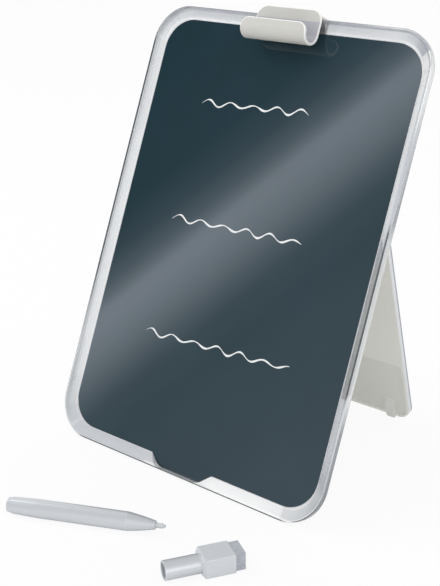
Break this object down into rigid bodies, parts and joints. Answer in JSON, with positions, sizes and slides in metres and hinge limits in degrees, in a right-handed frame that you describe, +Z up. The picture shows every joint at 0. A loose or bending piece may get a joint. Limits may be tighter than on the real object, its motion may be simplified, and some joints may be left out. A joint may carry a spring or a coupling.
{
  "type": "desk whiteboard",
  "caption": "Dark writing panel in a clear rounded frame, held upright by a fold-out stand, with a sliding pen clip and a loose marker and eraser cap.",
  "frame": {"origin": "middle of the flat strip on which the board's bottom edge stands on the desk", "axes": "+X along the board's bottom edge to the right, -Y towards the reader, +Z up from the desk"},
  "size_m": [0.227, 0.2747, 0.2966],
  "materials": {
    "clear_plastic": "clear, polished",
    "dark_glass": "dark teal-grey, glossy",
    "sheet_steel": "plain sheet",
    "foam_tape": "white foam",
    "grey_plastic": "warm light grey, satin",
    "screw_steel": "zinc plated",
    "pin_steel": "ground",
    "clear_rubber": "clear, soft",
    "cream_plastic": "cream white, satin",
    "silver_plastic": "pearly silver blue",
    "nib_felt": "felt tip, pale from the white ink",
    "ink_fibre": "fibre soaked with white ink",
    "magnet_metal": "plated magnet",
    "seal_plastic": "soft white",
    "pad_felt": "grey felt"
  },
  "bodies": {
    "board": {"clear_frame": "clear_plastic", "writing_panel": "dark_glass", "steel_sheet": "sheet_steel", "bonding_tape": "foam_tape", "rear_cover": "grey_plastic", "cover_screws": "screw_steel"},
    "stand": {"stand_plate": "grey_plastic", "hinge_pin_left": "pin_steel", "hinge_pin_right": "pin_steel", "stand_foot_left": "clear_rubber", "stand_foot_right": "clear_rubber"},
    "clip": {"pen_clip": "cream_plastic"},
    "pen": {"pen_barrel": "silver_plastic", "pen_nose": "silver_plastic", "pen_end_plug": "silver_plastic", "pen_nib": "nib_felt", "ink_reservoir": "ink_fibre"},
    "cap": {"cap_shell": "silver_plastic", "cap_end_plate": "silver_plastic", "cap_magnet": "magnet_metal", "cap_seal": "seal_plastic", "eraser_pad": "pad_felt"}
  },
  "joints": [
    {"name": "stand_fold", "type": "hinge", "parent": "board", "child": "stand", "pos_m": [0, 0.10007, 0.21943], "axis": [-1, 0, 0], "range_deg": [0, 39.2]},
    {"name": "clip_slide", "type": "slide", "parent": "board", "child": "clip", "axis": [1, 0, 0], "range_m": [-0.0585, 0.0585]},
    {"name": "pen_lift", "type": "slide", "parent": "board", "child": "pen", "axis": [0, 0, 1], "range_m": [0, 0.15]},
    {"name": "cap_lift", "type": "slide", "parent": "board", "child": "cap", "axis": [0, 0, 1], "range_m": [0, 0.15]}
  ]
}
